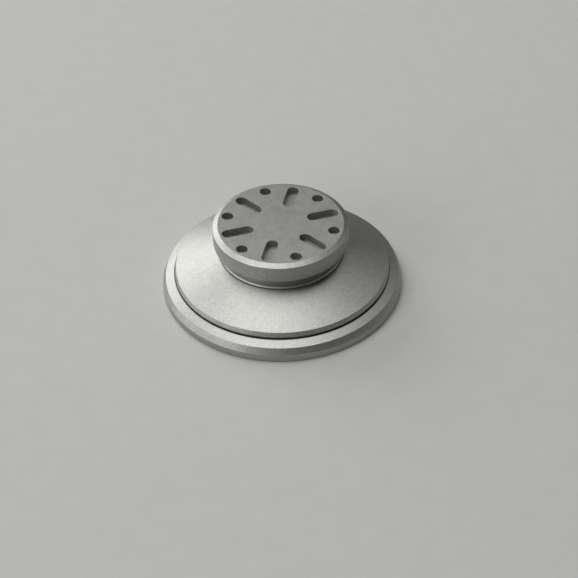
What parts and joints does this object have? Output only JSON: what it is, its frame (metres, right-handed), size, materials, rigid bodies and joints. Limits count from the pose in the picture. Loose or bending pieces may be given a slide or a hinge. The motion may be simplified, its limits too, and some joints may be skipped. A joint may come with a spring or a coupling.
{
  "type": "record weight",
  "caption": "Turned metal record weight: stepped foot, shallow cone and waisted knob with a slotted top, and a blind spindle hole below.",
  "frame": {"origin": "centre of the rest face, on the turning axis", "axes": "+Z along the turning axis, from the rest face towards the knob; a slot of the knob's face lies along +X"},
  "size_m": [0.0895, 0.0894, 0.028],
  "materials": {
    "blasted_steel": "stainless steel, fine bead-blasted, satin"
  },
  "bodies": {
    "root": {"weight_body": "blasted_steel"}
  },
  "joints": []
}
